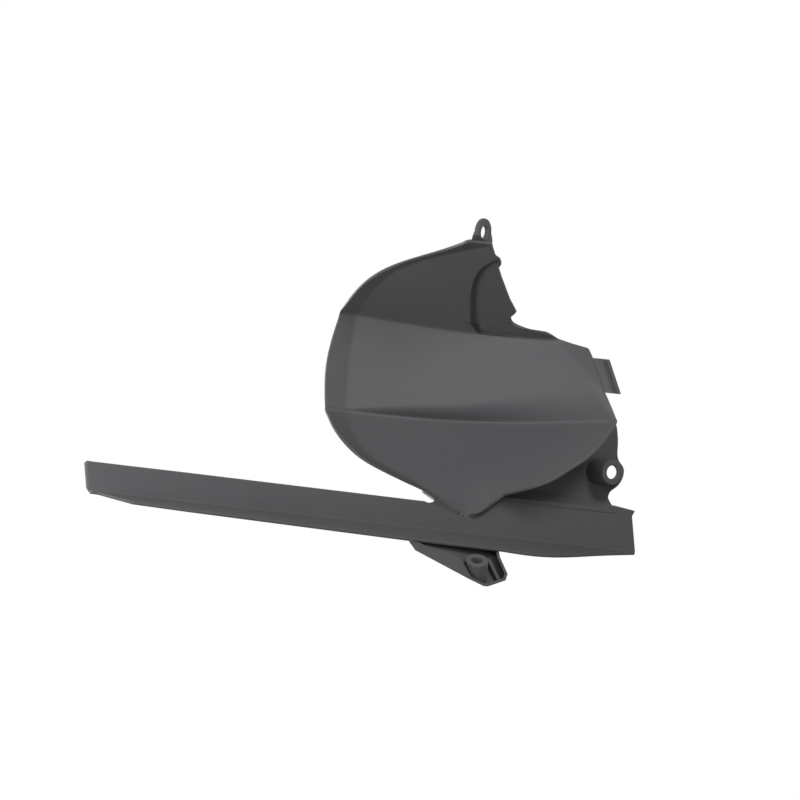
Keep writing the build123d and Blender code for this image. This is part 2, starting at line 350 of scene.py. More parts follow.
def turns_round(count: int) -> Array:
    """Even angles once round, from minus half a turn."""
    return np.linspace(-np.pi, np.pi, count, endpoint=False)


def circle(turns: Array) -> Array:
    """Points of a circle of radius one: the cosine and the sine of each angle."""
    return np.stack([np.cos(turns), np.sin(turns)], axis=-1)


def turned(profile: Array, place: Array) -> Form:
    """Turned form: each profile point (radius, height) goes round an upright axis through the place."""
    spokes = np.pad(circle(turns_round(TURN_STEPS)), ((0, 0), (0, 1)))
    return ring_form(place + spokes[:, None] * profile[:, :1] + profile[:, 1:] * (0.0, 0.0, 1.0))


def reach_round(line: Array, turns: Array) -> Array:
    """Distance from the origin to a closed line that goes round it once, at each angle.

    Args:
        line: the line's points, as (x, y).
        turns: angles to read, in radians.

    Returns:
        One distance per angle.
    """
    bearing = np.arctan2(line[:, 1], line[:, 0])
    order = np.argsort(bearing)
    return np.interp(turns, bearing[order], np.linalg.norm(line, axis=1)[order], period=2 * np.pi)


def spoked(hole: Array, edge: Array, spokes: int, rings: int) -> Array:
    """Rings of places from a hole to an edge, which both go round the origin once.

    Along a spoke the reach grows evenly from the hole's to the edge's, and a place is its reach times the
    cosine and the sine of its angle.

    Args:
        hole: closed line of the hole, as (x, y).
        edge: closed line of the edge.
        spokes: places on a ring.
        rings: number of rings.

    Returns:
        Rings x spokes x 2 places.
    """
    turns = turns_round(spokes)
    reach = np.linspace(reach_round(hole, turns), reach_round(edge, turns), rings)
    return reach[..., None] * circle(turns)


def dotted(points: Points | Array, steps: int) -> Array:
    """Line through points with straight in-between points, as many steps in every run.

    Args:
        points: corners in order.
        steps: steps from one corner to the next.

    Returns:
        The line's points.
    """
    corners = np.array(points, float)
    numbers = np.arange(len(corners))
    places = np.linspace(0, numbers[-1], steps * numbers[-1] + 1)
    return np.stack([np.interp(places, numbers, axis) for axis in corners.T], axis=-1)


def capped(loops: Array) -> Form:
    """Closed form through closed loops of points, with its first and last loops filled.

    Each filling is a row of faces between the first half of its loop and the second half, backwards.

    Args:
        loops: one loop of points a row.

    Returns:
        The closed form.
    """
    index = numbered(loops)
    columns = index.shape[1]
    low = np.arange(columns // 2 - 1)
    corners = np.stack([low, low + 1, columns - 2 - low, columns - 1 - low], axis=-1)
    sides = quads(np.hstack([index, index[:, :1]]))
    return Form(loops.reshape(-1, 3), np.vstack([sides, index[0][corners][:, ::-1], index[-1][corners]]))


@dataclass(frozen=True)
class TyreArch:
    """The creased arch over the tyre, with the pocket in its right wall, its rear lip and its front flange.

    Every plan point (q, y) has one height, read from radial sections about the axle.
    """

    crown_radius: float = 335.0
    wall: float = WALL
    right_slope: float = 54.0
    left_slope: float = 49.5
    soft_slope: float = 5.0
    crease_softness: float = 1.1
    facet_power: int = 2
    pocket_depth: float = 8.5
    pocket_riser: float = 1.3
    pocket_end_y: float = -93.0
    step_width: float = 1.7
    lip_turn: float = 27.0
    lip_turn_left: float = 46.0
    lip_turn_span: tuple[float, float] = (30.0, 55.0)
    flange_turn: float = 12.0
    edge_softness: float = 1.0
    edge_cells: float = 7.0
    crease_calm: float = 9.0
    probe: float = 0.05
    nose: float = 0.3
    right_y: float = -105.6
    crease_mark: float = -41.0
    ridge_mark: float = 30.0
    left_y: float = 102.6
    inner_marks: tuple[float, ...] = (-47.0, -35.0, 25.0, 35.0)
    columns: tuple[int, ...] = (64, 28, 64, 26, 72)
    lip_rows: int = 20
    body_rows: int = 126
    lip_share: float = 0.7
    stations: Points = (
        (-12, -42.5, 1.5, 1.5, 0.4, 32.0),
        (-3, -40.5, 2.5, 2.0, 1.0, 32.0),
        (5, -37.5, 7.0, 9.0, 8.0, 32.0),
        (13, -35.5, 11.0, 14.0, 10.0, 30.5),
        (21, -36.0, 15.0, 24.0, 8.5, 27.0),
        (30, -39.0, 19.0, 34.0, 6.5, 21.5),
        (40, -43.0, 20.0, 32.0, 6.0, 15.0),
    )
    rim: PlanLine = PlanLine.through(
        (Run.SMOOTH, ((83, -103), (60, -96), (37, -88), (13, -76), (-3, -59), (-13, -40))),
        (Run.SMOOTH, ((-13, -40), (-15, -8), (-13, 31))),
        (Run.SMOOTH, ((-13, 31), (-6, 49), (3, 60), (28, 73.5), (56, 86), (83, 103))),
    )
    rear: PlanLine = PlanLine.through(
        (Run.SMOOTH, (
            (66, -106), (51, -98.5), (36, -92), (16, -83.5), (1, -75), (-13.5, -61.5), (-25, -43),
        )),
        (Run.SMOOTH, ((-25, -43), (-32, 0), (-29, 34))),
        (Run.SMOOTH, ((-29, 34), (-24, 43), (-14, 55), (1, 66.5), (15, 73), (34, 80), (56, 87.5))),
        (Run.STRAIGHT, ((56, 87.5), (83, 103))),
    )
    front: PlanLine = PlanLine.through(
        (Run.STRAIGHT, (
            (80, -106), (83, -103), (86, -96), (90, -94), (91, -90), (89, -88), (92, -81), (100, -65),
        )),
        (Run.STRAIGHT, ((106, -56), (102, -52), (103, -49))),
        (Run.SMOOTH, ((105, -47), (115, -44), (129, -43), (139, -38.5))),
        (Run.STRAIGHT, ((162, -33), (166, -26), (178, -1), (190, 19), (188, 25))),
        (Run.SMOOTH, ((187, 27), (178, 41), (170, 50), (160, 58), (147, 68), (131, 76), (112, 83))),
        (Run.SMOOTH, ((112, 83), (104, 90), (95, 98), (83, 103))),
    )
    fold: PlanLine = PlanLine.through(
        (Run.STRAIGHT, ((PAST_FRONT, -39), (PAST_FRONT, -38.2))),
        (Run.SMOOTH, ((139, -38), (158, -18), (175, 0), (190, 19))),
        (Run.STRAIGHT, ((PAST_FRONT, 19.2), (PAST_FRONT, 20))),
    )
    step: PlanLine = PlanLine.through(
        (Run.SMOOTH, ((89.5, -93), (77, -84), (72.5, -74), (72.5, -52), (75, -41), (79, -35.5))),
    )

    def section(self, q: Array) -> list[Array]:
        """Sizes of the radial section at each q, splined by its angle at the axle.

        Args:
            q: places along the plan.

        Returns:
            Crease y, soft width, facet width, facet depth and ridge y.
        """
        table = np.array(self.stations, float)
        angle = np.degrees(np.arcsin(q / self.crown_radius))
        return list(np.moveaxis(natural_spline(table[:, 0], table[:, 1:], angle), -1, 0))

    def level(self, q: Array, y: Array, depth: float) -> Array:
        """Height over the crown of a face of the arch.

        The radius starts at the crown's and bends by a soft hinge at the soft line, the crease and the
        ridge. Before the ridge the facet sinks with a power of the way across it, and the pocket steps
        out just past the crease. A depth in the wall adds depth times the root of one plus the slope
        squared. The angle settles with the radius, and the height is the root of radius squared less
        q squared, taken from the crown.

        Args:
            q: places along the plan.
            y: places across the wheel.
            depth: depth in the wall, from its inner face.

        Returns:
            Heights, zero at the crown.
        """
        inset = smooth_step((q - self.step.at(y)) / self.step_width + HALF)
        inset = inset * smooth_step((y - self.pocket_end_y) / self.step_width)
        soft, right, left = (
            np.tan(np.radians(slope)) for slope in (self.soft_slope, self.right_slope, self.left_slope)
        )
        radius = np.full_like(q, self.crown_radius)
        for _ in range(SETTLING_PASSES):
            crease, soft_width, facet_width, facet_depth, ridge = self.section(
                self.crown_radius * q / radius
            )
            facet = self.facet_power * facet_depth / facet_width
            bends = (
                (soft, crease + soft_width - y, -1),
                (-soft - right, crease - y, -1),
                (-facet - left, y - ridge, 1),
            )
            way = np.maximum(y - ridge + facet_width, 0) / facet_width
            scoop = np.minimum(way, 1)
            radius = self.crown_radius + facet_depth * scoop**self.facet_power
            radius += facet * facet_width * np.maximum(way - 1, 0)
            radius += self.pocket_depth * inset * smooth_step((crease - y) / self.pocket_riser)
            slope = facet * scoop ** (self.facet_power - 1)
            for bend, reach, heading in bends:
                radius += bend * hinge(reach, self.crease_softness)
                slope += bend * heading * hinge_slope(reach, self.crease_softness)
            radius += depth * np.sqrt(1 + slope**2)
        return np.sqrt(radius**2 - q**2) - self.crown_radius

    def face(self, q: Array, y: Array, depth: float) -> Array:
        """Points of a face: the arch, carried on straight past the rim and the front fold.

        Past the rim the level falls by the tangent of the lip's turn, which grows towards the left wall,
        and past the fold it climbs by the tangent of the flange's.

        Args:
            q: places along the plan.
            y: places across the wheel.
            depth: depth in the wall, from its inner face.

        Returns:
            Bike-frame points.
        """
        rim, fold = self.rim.at(y), self.fold.at(y)
        held = rim + hinge(q - rim, self.edge_softness)
        held = fold - hinge(fold - held, self.edge_softness)
        level = self.level(held, y, depth)
        start, end = self.lip_turn_span
        share = smooth_step((y - start) / (end - start))
        turn = between(self.lip_turn, self.lip_turn_left, share)
        level -= np.tan(np.radians(turn)) * hinge(rim - q, self.edge_softness)
        level += np.tan(np.radians(self.flange_turn)) * hinge(q - fold, self.edge_softness)
        return from_tool(q, y, level)

    def normal(self, q: Array, y: Array) -> Array:
        """Unit normals of the inner face, away from the wheel, crossed from its steps along q and y.

        Args:
            q: places along the plan.
            y: places across the wheel.

        Returns:
            One bike-frame vector per place.
        """
        along = self.face(q + self.probe, y, 0.0) - self.face(q - self.probe, y, 0.0)
        over = self.face(q, y + self.probe, 0.0) - self.face(q, y - self.probe, 0.0)
        return unit(np.cross(along, over))

    def across(self, q: Array, mark: Array) -> Array:
        """y of a column at each q: columns keep to the crease and the ridge and share out the rest.

        Args:
            q: places along the plan.
            mark: each column's y where the crease and the ridge are at their marks.

        Returns:
            One y per place.
        """
        sections = self.section(q)
        marks = (self.right_y, self.crease_mark, self.ridge_mark, self.left_y)
        places = (np.full_like(q, self.right_y), sections[0], sections[-1], np.full_like(q, self.left_y))
        zone = np.clip(np.searchsorted(marks, mark) - 1, 0, len(marks) - 2)
        low, high = np.choose(zone, places[:-1]), np.choose(zone, places[1:])
        start, end = np.take(marks, zone), np.take(marks, zone + 1)
        return between(low, high, (mark - start) / (end - start))

    def plan(self) -> tuple[Array, Array]:
        """Plan grid: columns across the wheel, rows from the rear edge over the rim to the front edge.

        Returns:
            q and y of the grid.
        """
        marks = (self.right_y, *self.inner_marks, self.left_y)
        spans = [np.linspace(*span) for span in zip(marks, marks[1:], self.columns)]
        mark = np.unique(np.concatenate(spans))
        rear_y, front_y = mark, mark
        for _ in range(EDGE_PASSES):
            rear_y = self.across(self.rear.at(rear_y), mark)
            front_y = self.across(self.front.at(front_y), mark)
        rear, front = self.rear.at(rear_y), self.front.at(front_y)
        turn = np.minimum(self.rim.at(rear_y), between(rear, front, self.lip_share))
        lip = np.linspace(0.0, 1.0, self.lip_rows, endpoint=False)[:, None]
        body = np.linspace(0.0, 1.0, self.body_rows)[:, None]
        q = np.vstack([between(rear, turn, lip), between(turn, front, body)])
        return q, self.across(q, np.broadcast_to(mark, q.shape))

    def nearness(self, q: Array, y: Array) -> Array:
        """One on the grid's border, falling smoothly to none edge_cells inside it and at the crease.

        Args:
            q: places along the plan grid.
            y: places across the wheel.

        Returns:
            One share per place, on an axis of its own.
        """
        row, column = (np.minimum(np.arange(size), np.arange(size)[::-1]) for size in q.shape)
        calm = smooth_step(np.abs(y - self.section(q)[0]) / self.crease_calm)
        return (calm * (1 - smooth_step(np.minimum(row[:, None], column) / self.edge_cells)))[..., None]

    def build(self, material: bpy.types.Material) -> Pieces:
        """Add the arch as one closed shell, whose free edges are square to the wall.

        The outer face keeps to the inner face's plan, and bends to the inner face plus a wall along its
        normal near the border. There the inner face draws back by as much, so the outline stays.

        Args:
            material: the finish.

        Returns:
            The arch.
        """
        q, y = self.plan()
        near = self.nearness(q, y)
        across, back = np.cos(DRAW_TILT), np.sin(DRAW_TILT)
        normal = self.normal(q, y)
        q = q - near[..., 0] * self.wall * (normal[..., 0] * across - normal[..., 2] * back)
        y = y - near[..., 0] * self.wall * normal[..., 1]
        inner, outer = self.face(q, y, 0.0), self.face(q, y, self.wall)
        square = inner + self.normal(q, y) * self.wall
        return [shell(inner, between(outer, square, near), self.nose).add("tyre_arch", material)]


@dataclass(frozen=True)
class ChainGuard:
    """The long plate beside the tyre with its leaning skirt: a bent profile along the fold."""

    height: float = PLATE_HEIGHT
    fold_start: tuple[float, float] = (-203.6, 111.5)
    fold_end: tuple[float, float] = (210.9, 114.5)
    lean: float = 20.5
    bend_radius: float = 2.3
    nose: float = 0.4
    top: Points = (
        (-204, 89.7), (55, 93.6), (83, 102.8), (112, 84), (186, 84), (192, 82), (198, 82), (208, 83.5),
        (213, 84.2),
    )
    rear_end: Points = ((-202, 89.7), (-204, 91), (-200.5, 110), (-196, 114.5), (-190, 119))
    front_end: Points = ((209.3, 84.2), (207.5, 88), (213, 117))
    foot_front: Points = ((112, 125), (135, 125.9), (157.5, 124.6), (184.5, 120.7), (213, 117))
    foot_rear: Points = ((-206, 112.4), (-196, 114.5), (-176, 118.6), (-133, 120), (43, 124.3))
    steps: int = 240
    plate_steps: int = 26
    bend_steps: int = 9
    skirt_steps: int = 14
    mark_radius: float = 5.1
    mark_width: float = 0.5
    mark_rise: float = 0.12
    marks: Points = ((-130, 101), (-57, 101), (18, 101), (122, 107), (155, 102))

    @property
    def turn(self) -> float:
        """Turn of the fold, from the level plate to the leaning skirt."""
        return np.pi / 2 - np.radians(self.lean)

    def fold_y(self, q: Array) -> Array:
        """y of the sharp inner fold at each q."""
        (start_q, start_y), (end_q, end_y) = self.fold_start, self.fold_end
        return between(start_y, end_y, (q - start_q) / (end_q - start_q))

    def skirt_level(self, q: Array, y: Array) -> Array:
        """Level of the wall's middle over a plan point: the plate's, then down by the tangent of the turn.

        Args:
            q: places along the plan.
            y: places across the wheel.

        Returns:
            One level per place.
        """
        corner_y = self.fold_y(q) + WALL / 2 * np.tan(self.turn / 2)
        height = self.height + WALL / 2 - np.maximum(y - corner_y, 0) * np.tan(self.turn)
        return draw_level(q, height)

    def grids(self) -> tuple[Array, Array]:
        """Inner and outer faces: a straight plate, an arc at the fold and a straight skirt of varied reach.

        A section's heading turns from level to the skirt's lean over the arc, and each face lies half a
        wall to one side of the section's middle line.

        Returns:
            The inner and the outer face, point for point.
        """
        turn = self.turn
        tangent = self.bend_radius * np.tan(turn / 2)
        top, foot = np.array(self.top), np.vstack([self.foot_rear, drawn(Run.SMOOTH, self.foot_front)])
        along = np.linspace(self.top[0][0], self.top[-1][0], self.steps)
        along = np.union1d(along, top[:, 0])[:, None]
        corner = self.fold_y(along) + WALL / 2 * np.tan(turn / 2)
        reach = corner - tangent - np.interp(along, top[:, 0], top[:, 1])
        outer_corner = self.fold_y(along) + WALL * np.tan(turn / 2)
        drop = (np.interp(along, foot[:, 0], foot[:, 1]) - outer_corner) / np.cos(turn)
        drop = np.maximum(drop - (self.bend_radius + WALL / 2) * np.tan(turn / 2), self.nose)
        plate = np.linspace(-1.0, 0.0, self.plate_steps, endpoint=False)
        bend = np.linspace(0.0, 1.0, self.bend_steps, endpoint=False)
        skirt = np.linspace(0.0, 1.0, self.skirt_steps)
        before = reach * np.concatenate([plate, 0 * bend, 0 * skirt])
        heading = turn * np.concatenate([0 * plate, bend, 0 * skirt + 1])
        after = drop * np.concatenate([0 * plate, 0 * bend, skirt])
        y = corner - tangent + before + self.bend_radius * np.sin(heading) + after * np.cos(turn)
        height = self.height + WALL / 2 - self.bend_radius * (1 - np.cos(heading)) - after * np.sin(turn)
        rear, front = np.array(self.rear_end), np.array(self.front_end)
        share = (along - along[0]) / (along[-1] - along[0])
        q_rear = np.interp(y, rear[:, 1], rear[:, 0])
        q_front = np.interp(y, front[:, 1], front[:, 0])
        q = between(q_rear, q_front, share)
        middle = from_tool(q, y, draw_level(q, height))
        normal = np.stack([0 * heading, np.sin(heading), np.cos(heading)], axis=-1)
        return middle - normal * WALL / 2, middle + normal * WALL / 2

    def build(self, material: bpy.types.Material) -> Pieces:
        """Add the plate with its skirt, and the faint rings that ejector pins leave on it.

        Args:
            material: the finish.

        Returns:
            The plate, then its marks.
        """
        pieces = [shell(*self.grids(), self.nose).add("chain_guard", material)]
        low, high = self.mark_radius - self.mark_width, self.mark_radius
        under, over = -self.mark_rise, WALL / 2
        corners = ((low, under), (high, under), (high, over), (low, over))
        profile = rounded(corners, self.mark_rise, True)
        for number, (x, y) in enumerate(self.marks):
            mark = turned(profile, np.array((x, y, self.height)))
            pieces.append(mark.add(f"pin_mark_{number}", material))
        return pieces


@dataclass(frozen=True)
class Bridge:
    """The stepped panel from the plate to the arch, with the hollow front boss under it."""

    height: float = 150.0
    foot_height: float = PLATE_HEIGHT
    foot_y: float = 86.0
    step_y: float = 77.0
    end_y: float = 86.4
    boss_radius: float = 9.4
    boss_hole: float = BOLT_HOLE
    boss_end_wall: float = 2.6
    softness: float = 1.3
    nose: float = 0.5
    edge: float = 0.7
    front: Points = (
        (358, 22), (361, 36), (363.5, 48), (368.5, 53), (369, 59), (363, 68), (358, 72), (356.5, 77)
    )
    front_foot_x: float = 358.5
    search: tuple[float, float] = (205.0, 372.0)
    spokes: int = 300
    rings: int = 60

    def outline(self, arch: TyreArch) -> Array:
        """Closed plan line: the front edge, the foot, the wall of the arch found by halving, and the top.

        Args:
            arch: the arch that the panel ends at.

        Returns:
            Bike-frame (x, y) points.
        """
        edge = np.vstack([drawn(Run.SMOOTH, self.front), (self.front_foot_x, self.end_y)])
        y = np.linspace(self.end_y, self.front[0][1], CURVE_SAMPLES)
        low, high = np.full_like(y, self.search[0]), np.full_like(y, self.search[1])
        height = self.panel(y)[0]
        for _ in range(HALVINGS):
            x = (low + high) / 2
            q = (x - CROWN[0]) * np.cos(DRAW_TILT) - (height - CROWN[2]) * np.sin(DRAW_TILT)
            level = (x - CROWN[0]) * np.sin(DRAW_TILT) + (height - CROWN[2]) * np.cos(DRAW_TILT)
            under = level < arch.level(q, y, WALL / 2)
            low, high = np.where(under, x, low), np.where(under, high, x)
        foot = np.linspace(edge[-1], (low[0], y[0]), CURVE_SAMPLES)
        top = np.linspace((low[-1], y[-1]), edge[0], CURVE_SAMPLES)
        return np.vstack([edge, foot, np.stack([low, y], axis=-1), top])

    def panel(self, y: Array) -> tuple[Array, Array]:
        """Underside of the panel: level, then down to the plate past the step, by a soft hinge.

        Args:
            y: places across the wheel.

        Returns:
            Its height and its slope.
        """
        fall = (self.height - self.foot_height) / (self.foot_y - self.step_y)
        reach = y - self.step_y
        return self.height - fall * hinge(reach, self.softness), -fall * hinge_slope(reach, self.softness)

    def drawn_out(self, radius: Array, rise: Array, turns: Array) -> Array:
        """Plan of a ring of the boss: its front half slides along the draw as it rises above the seat.

        The slide is the rise times the tangent of the draw's tilt. It fades to none from the boss's wall
        to its bore, so the bore stays round.

        Args:
            radius: radius of the ring.
            rise: height over the seat.
            turns: angles round the ring.

        Returns:
            Places from the boss's axis, as (x, y).
        """
        share = np.clip((radius - self.boss_hole) / (self.boss_radius - WALL - self.boss_hole), 0.0, 1.0)
        slide = share * rise * np.tan(DRAW_TILT) * (np.cos(turns) > 0)
        return np.stack([radius * np.cos(turns) + slide, radius * np.sin(turns)], axis=-1)

    def build(self, arch: TyreArch, material: bpy.types.Material) -> Pieces:
        """Add the panel as rings from the boss to its outline, and the boss as a drawn-out tube.

        Args:
            arch: the arch that the panel ends at.
            material: the finish.

        Returns:
            The panel and the boss.
        """
        rise = self.height - SEAT[2]
        turns = turns_round(self.spokes)
        hole = self.drawn_out(np.array(self.boss_radius - WALL / 2), np.array(rise), turns)
        hole = dotted(np.vstack([hole, hole[:1]]), self.rings)
        centre = np.array((rise * np.tan(DRAW_TILT) / 2, 0.0))
        edge = self.outline(arch) - SEAT[:2]
        plan = spoked(hole - centre, edge - centre, self.spokes, self.rings) + centre + SEAT[:2]
        height, slope = self.panel(plan[..., 1])
        under = np.concatenate([plan, height[..., None]], axis=-1)
        normal = unit(np.stack([0 * slope, -slope, 0 * slope + 1], axis=-1))
        panel = shell(under, under + normal * WALL, self.nose, ring=True).add("bridge_panel", material)
        top = rise + WALL / 2
        outer, inner = self.boss_radius, self.boss_radius - WALL
        corners = (
            (self.boss_hole, 0.0), (outer, 0.0), (outer, top), (inner, top),
            (inner, self.boss_end_wall), (self.boss_hole, self.boss_end_wall),
        )
        radius, height = rounded(corners, self.edge, True).T
        ring = self.drawn_out(radius, height, turns[:, None])
        grid = np.concatenate([ring, np.broadcast_to(height[:, None], (*ring.shape[:2], 1))], axis=-1)
        return [panel, ring_form(grid + SEAT).add("front_boss", material)]


@dataclass(frozen=True)
class Web:
    """The three-cornered web that holds the left wall's foot to the plate."""

    top_span: tuple[float, float] = (84.8, 101.6)
    inset: float = 2.2
    rear: tuple[float, float, float] = (180.0, 94.0, PLATE_HEIGHT)
    front: tuple[float, float, float] = (216.0, 102.5, PLATE_HEIGHT)
    depth: float = 1.1
    bow: float = 0.7
    nose: float = 0.3
    steps: int = 24

    def build(self, arch: TyreArch, material: bpy.types.Material) -> Pieces:
        """Add the web: lines from the wall's rear edge to the plate, whose rear end bows in.

        At a fall f down the web, a line's share s moves forward by the bow times f(1 - f)(1 - s).

        Args:
            arch: the arch whose rear edge carries the web.
            material: the finish.

        Returns:
            The web.
        """
        fall = np.linspace(0.0, 1.0, self.steps)[:, None]
        share = np.linspace(0.0, 1.0, self.steps)
        share = share + self.bow * fall * (1 - fall) * (1 - share)
        y = between(*self.top_span, share)
        top = arch.face(arch.rear.at(y) + self.inset, y, self.depth)
        rear, front = np.array(self.rear), np.array(self.front)
        foot = between(rear, front, share[..., None])
        face = between(top, foot, fall[..., None])
        out = unit(np.cross(rear - front, top[0, 0] - rear))
        return [shell(face, face + out * WALL, self.nose).add("web", material)]


@dataclass(frozen=True)
class RearTab:
    """The fixing tab behind the right wall, on a root that twists into the wall's end."""

    centre: tuple[float, float] = (76.0, -112.0)
    drop: float = 8.7
    tilt: float = 59.5
    thickness: float = 3.0
    hole: float = BOLT_HOLE
    half_width: float = 13.0
    shoulder: float = 10.0
    end_reach: float = 9.9
    root: float = 5.2
    root_slant: float = 0.235
    neck_y: float = -101.5
    neck_span: tuple[float, float] = (67.0, 81.0)
    neck_depths: tuple[float, float] = (0.5, 1.7)
    overlap: float = 1.5
    nose: float = 0.5
    spokes: int = 160
    rings: int = 16

    def outline(self) -> Array:
        """Closed line round the hole: a round end, straight sides and the root's far edge.

        The end is an arc over the shoulders, whose radius is the sum of their half width squared and the
        reach squared, over twice the reach.

        Returns:
            Points across and along the tab.
        """
        radius = (self.shoulder**2 + self.end_reach**2) / (2 * self.end_reach)
        half = np.arcsin(self.shoulder / radius)
        turns = np.linspace(-half, half, CURVE_SAMPLES)
        end = np.stack([radius * np.sin(turns), radius - self.end_reach - radius * np.cos(turns)], axis=-1)
        side, far = self.half_width, self.neck_y - self.centre[1] + self.overlap
        sides = ((side, self.root), (side, far), (-side, far), (-side, self.root))
        return dotted(np.vstack([end, sides, end[:1]]), CURVE_SAMPLES)

    def build(self, arch: TyreArch, material: bpy.types.Material) -> Pieces:
        """Add the tab as rings from its hole to its outline, bent over to the wall past the root.

        Up to the slanted root the tab is flat. From there each point goes over in a straight line to its
        share of the neck, which lies in the arch's wall.

        Args:
            arch: the arch that the root ends in.
            material: the finish.

        Returns:
            The tab.
        """
        hole = self.hole * circle(turns_round(self.spokes))
        plan = spoked(hole, self.outline(), self.spokes, self.rings)
        across, along = plan[..., :1], plan[..., 1:]
        tilt = np.radians(self.tilt)
        q, y = np.array(self.centre[:1]), np.array([self.neck_y])
        wall_level = float(arch.level(q, y, 0.0)[0])
        middle = np.array((*self.centre, wall_level - self.drop))
        root = self.root + self.root_slant * across
        flat = middle + across * (np.cos(tilt), 0, np.sin(tilt)) + np.minimum(along, root) * (0, 1, 0)
        out = np.array((-np.sin(tilt), 0, np.cos(tilt))) * self.thickness
        bend = np.clip((along - root) / (self.neck_y - self.centre[1] - root), 0.0, 1.0)
        share = np.clip((across + self.half_width) / (2 * self.half_width), 0.0, 1.0)[..., 0]
        neck_q = between(*self.neck_span, share)
        faces = []
        for side, depth in zip((flat, flat + out), self.neck_depths):
            neck = arch.face(neck_q, np.full_like(neck_q, self.neck_y), depth)
            free = from_tool_rows(side)
            faces.append(between(free, neck, bend))
        return [shell(*faces, self.nose, ring=True).add("rear_tab", material)]


@dataclass(frozen=True)
class HoseClip:
    """The tongue, gutter and lip on the front flange that hold a hose."""

    top: tuple[float, float] = (165.5, -26.5)
    top_fold: float = 150.1
    foot: tuple[float, float] = (176.5, -2.2)
    foot_fold: float = 173.0
    profile: Points = ((-4, -0.85), (7.5, 1.59), (9, 5), (11, 5.4), (13, 3))
    round_radius: float = 1.3
    nose: float = 0.5
    steps: int = 16

    def spot(self, arch: TyreArch, place: tuple[float, float], fold_q: float) -> Array:
        """Point in the middle of the flange's wall, which climbs straight from the fold at the same y.

        Args:
            arch: the arch that carries the flange.
            place: the point's plan, as (q, y).
            fold_q: q of the fold.

        Returns:
            A tool-frame point.
        """
        q, y = np.array([fold_q]), np.array(place[1:])
        level = arch.level(q, y, WALL / 2)[0]
        return np.array((*place, level + (place[0] - fold_q) * np.tan(np.radians(arch.flange_turn))))

    def build(self, arch: TyreArch, material: bpy.types.Material) -> Pieces:
        """Add the clip: a rounded profile carried down the flange's edge.

        Args:
            arch: the arch that carries the flange.
            material: the finish.

        Returns:
            The clip.
        """
        start = self.spot(arch, self.top, self.top_fold)
        end = self.spot(arch, self.foot, self.foot_fold)
        line = rounded(self.profile, self.round_radius, False)
        heading = unit(np.gradient(line, axis=0))
        normal = np.stack([-heading[:, 1], heading[:, 0]], axis=-1)
        path = np.linspace(start, end, self.steps)[:, None]
        faces = []
        for side in (-WALL / 2, WALL / 2):
            x, z = (line + normal * side).T
            faces.append(from_tool_rows(path + np.stack([x, 0 * x, z], axis=-1)))
        return [shell(*faces, self.nose).add("hose_clip", material)]


